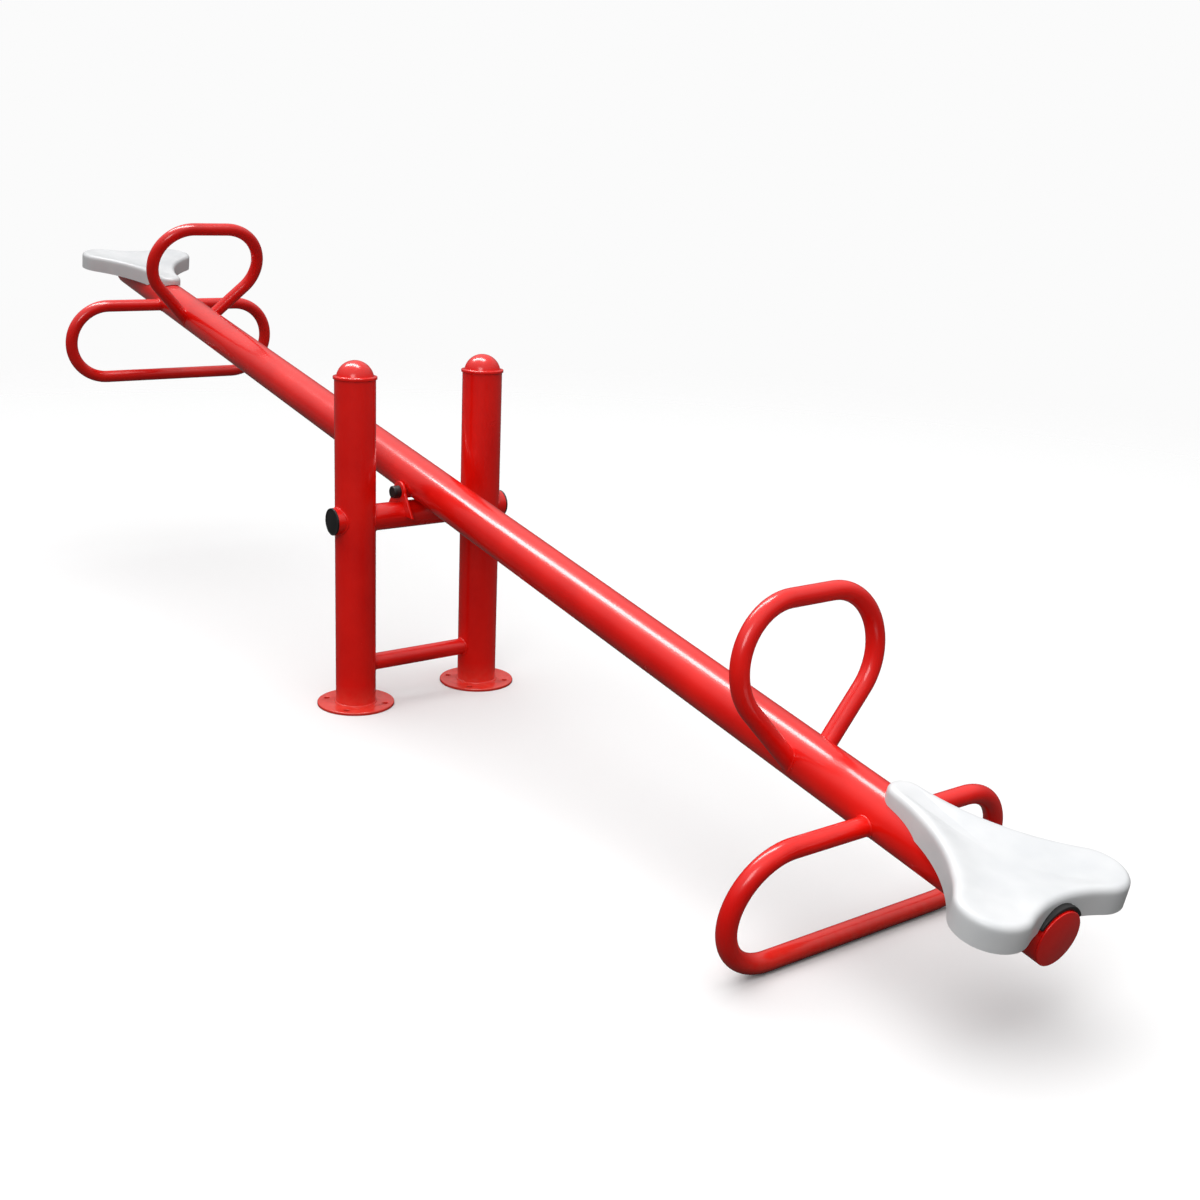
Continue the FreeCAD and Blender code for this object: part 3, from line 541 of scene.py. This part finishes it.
def cut_away(piece, gap, first, last):
    """Clears a piece drawn on the level beam by a gap round the beam, between two distances."""
    deselect()
    bpy.ops.mesh.primitive_cylinder_add(vertices=128, radius=BEAM_RADIUS + gap, depth=last - first,
                                        location=((first + last) / 2, 0, BEAM_AXIS),
                                        rotation=ALONG_BEAM)
    cutter = bpy.context.object
    settle(cutter)
    modify(piece, "BOOLEAN", object=cutter, operation="DIFFERENCE", solver="EXACT")
    bpy.data.objects.remove(cutter)


def add_bosses(shell):
    """Four hollow posts inside the seat, on its steel plate, round the threaded inserts."""
    # Each starts just over the plate and ends inside the thickness of the dished top.
    low = BEAM_AXIS + BEAM_RADIUS + PLATE + 0.3 * MM
    high = SEAT_RIM + SEAT_SKIRT - 10 * MM
    deselect()
    bpy.ops.mesh.primitive_cylinder_add(vertices=40, radius=BOSS_RADIUS, depth=high - low,
                                        location=(BOLT_CENTRE, 0, (low + high) / 2))
    boss = bpy.context.object
    settle(boss)
    open_mesh(boss)
    pick(boss, "FACE", lambda c: c.z < low + 0.1 * MM)
    bpy.ops.mesh.inset(thickness=BOSS_RADIUS - INSERT_RADIUS - 0.2 * MM)
    bpy.ops.mesh.extrude_region_move(TRANSFORM_OT_translate={"value": (0, 0, 10 * MM)})
    close_mesh()
    bevel(boss, 0.6 * MM, 2, 50)
    copies = []
    for across in (-BOLT_X, BOLT_X):
        for side in (-BOLT_Y, BOLT_Y):
            take(boss)
            bpy.ops.object.duplicate()
            copy = bpy.context.object
            copy.location = (across, side, 0)
            settle(copy)
            copies.append(copy)
    bpy.data.objects.remove(boss)
    take(shell)
    for copy in copies:
        copy.select_set(True)
    bpy.ops.object.join()


def seat(end_name, end):
    """A moulded seat: deep skirt, rolled rim, dished top, hollow beneath, cut round the beam."""
    edge = seat_edge()
    deselect()
    bpy.ops.mesh.primitive_circle_add(vertices=len(edge), radius=SEAT_HALF_WIDTH,
                                      fill_type="NOTHING")
    shell = bpy.context.object
    shape = open_mesh(shell)
    shape.verts.ensure_lookup_table()
    for vertex, point in zip(shape.verts, edge):
        vertex.co = (point.x, point.y, 0)
    bmesh.update_edit_mesh(shell.data)
    bpy.ops.mesh.select_all(action="SELECT")
    for _ in range(2):
        bpy.ops.mesh.extrude_region_move(
            TRANSFORM_OT_translate={"value": (0, 0, 0.5 * SEAT_BODY)})
    bpy.ops.mesh.edge_face_add()
    # The rim turns over a quarter circle.
    for step in range(RIM_STEPS):
        low, high = (math.radians(90 / RIM_STEPS * k) for k in (step, step + 1))
        bpy.ops.mesh.inset(thickness=SEAT_ROUND * (math.cos(low) - math.cos(high)))
        bpy.ops.transform.translate(value=(0, 0, SEAT_ROUND * (math.sin(high) - math.sin(low))))
    # From the rim the top sinks in shrinking copies of the outline to a shallow dish.
    size = 1.0
    for next_size, sink in (
            (0.93, 0.6), (0.82, 2.2), (0.68, 3.4), (0.52, 2.6), (0.34, 1.4), (0.16, 0.5)):
        bpy.ops.mesh.extrude_region_move(TRANSFORM_OT_translate={"value": (0, 0, -sink * MM)})
        shrink = next_size / size
        bpy.ops.transform.resize(value=(shrink, shrink, 1), center_override=(SEAT_HEART, 0, 0))
        size = next_size
    bpy.ops.mesh.poke()
    close_mesh(outward=False)
    modify(shell, "SUBSURF", levels=1, render_levels=1)
    modify(shell, "SOLIDIFY", thickness=SEAT_WALL, offset=-1, use_even_offset=True)
    shell.location = (SEAT_FRONT, 0, SEAT_RIM)
    settle(shell)
    # The close fit runs past the nose; the wider arch starts inside it and runs past the tail.
    cut_away(shell, SEAT_GAP, SEAT_FRONT - 50 * MM, SEAT_FRONT + 380 * MM)
    cut_away(shell, SEAT_REAR_GAP, SEAT_FRONT + 340 * MM, SEAT_FRONT + 600 * MM)
    bevel(shell, 0.8 * MM, 2, 50)
    add_bosses(shell)
    smooth(shell, 40)
    onto_beam(shell, end)
    finish_piece(shell, end_name + "_seat_shell", "beam", "white_plastic", [end_name + "_seat"])


for end_name, end in ENDS:
    seat(end_name, end)


def seat_gap_block(end_name, end):
    """A black saddle on the beam's crown that closes the gap under the seat's rear edge, so that the gap shows
    dark.
    """
    # A hair of air on both sides keeps it from touching the paint or the seat.
    inner, outer = BEAM_RADIUS + 0.3 * MM, BEAM_RADIUS + SEAT_REAR_GAP - 0.5 * MM
    deselect()
    bpy.ops.mesh.primitive_circle_add(vertices=TUBE_SIDES, radius=inner, fill_type="NOTHING")
    buffer = bpy.context.object
    open_mesh(buffer)
    pick(buffer, "VERT", lambda p: math.atan2(abs(p.x), p.y) > BUFFER_SPREAD)
    bpy.ops.mesh.delete(type="VERT")
    bpy.ops.mesh.select_all(action="SELECT")
    bpy.ops.mesh.extrude_region_move(TRANSFORM_OT_translate={"value": (0, 0, 0)})
    growth = outer / inner
    bpy.ops.transform.resize(value=(growth, growth, 1), center_override=(0, 0, 0))
    bpy.ops.mesh.select_all(action="SELECT")
    bpy.ops.mesh.extrude_region_move(TRANSFORM_OT_translate={"value": (0, 0, BUFFER_LENGTH)})
    close_mesh()
    bevel(buffer, 2 * MM, 3, 50)
    smooth(buffer)
    buffer.rotation_euler = (math.pi / 2, 0, math.pi / 2)
    rear_edge = SEAT_FRONT + SEAT_LENGTH - SEAT_NOTCH
    buffer.location = (rear_edge - BUFFER_LENGTH + BUFFER_SHOWS, 0, BEAM_AXIS)
    onto_beam(buffer, end)
    finish_piece(buffer, end_name + "_seat_gap_block", "beam", "black_plastic")


for end_name, end in ENDS:
    seat_gap_block(end_name, end)


# ---------------------------------------------------------------- floor, light, camera
deselect()
bpy.ops.mesh.primitive_circle_add(vertices=96, radius=24, fill_type="NGON")
floor = bpy.context.object
floor.name = "floor"


def floor_paint():
    """Matt white floor that throws little light back up, and fades into the walls far out."""
    material, shader, place = start("floor_paint")
    tree = material.node_tree
    shader.inputs["Base Color"].default_value = linear("#F2F2F2")
    shader.inputs["Roughness"].default_value = 0.95
    shader.inputs["Specular IOR Level"].default_value = 0.0
    dull = add(material, "ShaderNodeBsdfDiffuse", Color=linear("#4C4B49"))
    ray = add(material, "ShaderNodeLightPath")
    seen = add(material, "ShaderNodeMixShader", [
        (ray.outputs["Is Camera Ray"], 0), (dull.outputs[0], 1), (shader.outputs[0], 2)])
    reach = add(material, "ShaderNodeVectorMath", [(place, 0)], operation="LENGTH")
    fade = add(material, "ShaderNodeMapRange", [(reach.outputs["Value"], "Value")],
               interpolation_type="SMOOTHSTEP", From_Min=2.5, From_Max=8.0)
    clear = add(material, "ShaderNodeBsdfTransparent")
    far_out = add(material, "ShaderNodeMixShader", [
        (fade.outputs[0], 0), (seen.outputs[0], 1), (clear.outputs[0], 2)])
    tree.links.new(far_out.outputs[0], tree.nodes["Material Output"].inputs[0])
    return material


floor.data.materials.append(floor_paint())


def studio():
    """White walls to look at, and a soft white ceiling over darker walls as the light."""
    world = bpy.data.worlds.new("studio")
    world.use_nodes = True
    tree = world.node_tree
    ceiling = tree.nodes["Background"]
    ceiling.inputs["Color"].default_value = (1, 1, 1, 1)
    place = tree.nodes.new("ShaderNodeTexCoord")
    apart = tree.nodes.new("ShaderNodeSeparateXYZ")
    rise = tree.nodes.new("ShaderNodeMapRange")
    rise.interpolation_type = "SMOOTHSTEP"
    rise.inputs["From Min"].default_value = 0.05
    rise.inputs["From Max"].default_value = 0.75
    rise.inputs["To Min"].default_value = 0.14
    rise.inputs["To Max"].default_value = 0.8
    walls = tree.nodes.new("ShaderNodeBackground")
    walls.inputs["Color"].default_value = linear("#FBFBFB")
    ray = tree.nodes.new("ShaderNodeLightPath")
    chosen = tree.nodes.new("ShaderNodeMixShader")
    for source, target in (
            (place.outputs["Generated"], apart.inputs[0]),
            (apart.outputs["Z"], rise.inputs["Value"]),
            (rise.outputs[0], ceiling.inputs["Strength"]),
            (ray.outputs["Is Camera Ray"], chosen.inputs[0]),
            (ceiling.outputs[0], chosen.inputs[1]),
            (walls.outputs[0], chosen.inputs[2]),
            (chosen.outputs[0], tree.nodes["World Output"].inputs[0])):
        tree.links.new(source, target)
    return world


bpy.context.scene.world = studio()


def softbox(name, place, aim, size, watts, turn=0):
    """A rectangular lamp aimed at a point, its long side turned about that aim."""
    deselect()
    bpy.ops.object.light_add(type="AREA", location=place)
    lamp = bpy.context.object
    lamp.name = name
    lamp.data.shape = "RECTANGLE"
    lamp.data.size, lamp.data.size_y = size
    lamp.data.energy = watts
    away = Vector(aim) - Vector(place)
    lamp.rotation_mode = "QUATERNION"
    about_aim = Quaternion((0, 0, 1), math.radians(turn))
    lamp.rotation_quaternion = away.to_track_quat("-Z", "Y") @ about_aim
    return lamp


# The strip's white streak lies along the beam's upper side; it is only seen in gloss.
strip = softbox("strip_softbox", place=(-1.45, -0.3, 4.6), aim=(-1.45, -0.3, 0), size=(4.6, 1.0),
                watts=230, turn=27)
strip.visible_diffuse = False
softbox("camera_softbox", place=(3.6, -3.4, 3.2), aim=(0.3, 0, 0.5), size=(2.0, 2.0), watts=60)
deselect()
bpy.ops.object.light_add(type="SUN", location=(0, 0, 5),
                         rotation=(math.radians(8), math.radians(-6), 0))
ceiling_lamp = bpy.context.object
ceiling_lamp.name = "ceiling_lamp"
ceiling_lamp.data.energy = 1.5
ceiling_lamp.data.angle = math.radians(70)
ceiling_lamp.visible_glossy = False

# The camera stands 1.5 m up, off the near end, and looks along the beam.
bpy.ops.object.camera_add(location=(3.6814, -2.1635, 1.5096))
camera = bpy.context.object
camera.name = "camera"
camera.data.sensor_width = 36
camera.data.lens = 45.555
camera.data.shift_x = 0.03
heading, dip, lean = math.radians(143.86), math.radians(15.932), math.radians(2.097)
level = math.cos(dip)
look = Vector((level * math.cos(heading), level * math.sin(heading), -math.sin(dip)))
camera.rotation_mode = "QUATERNION"
camera.rotation_quaternion = look.to_track_quat("-Z", "Y") @ Quaternion((0, 0, 1), lean)
bpy.context.scene.camera = camera
bpy.context.scene.view_settings.view_transform = "Standard"
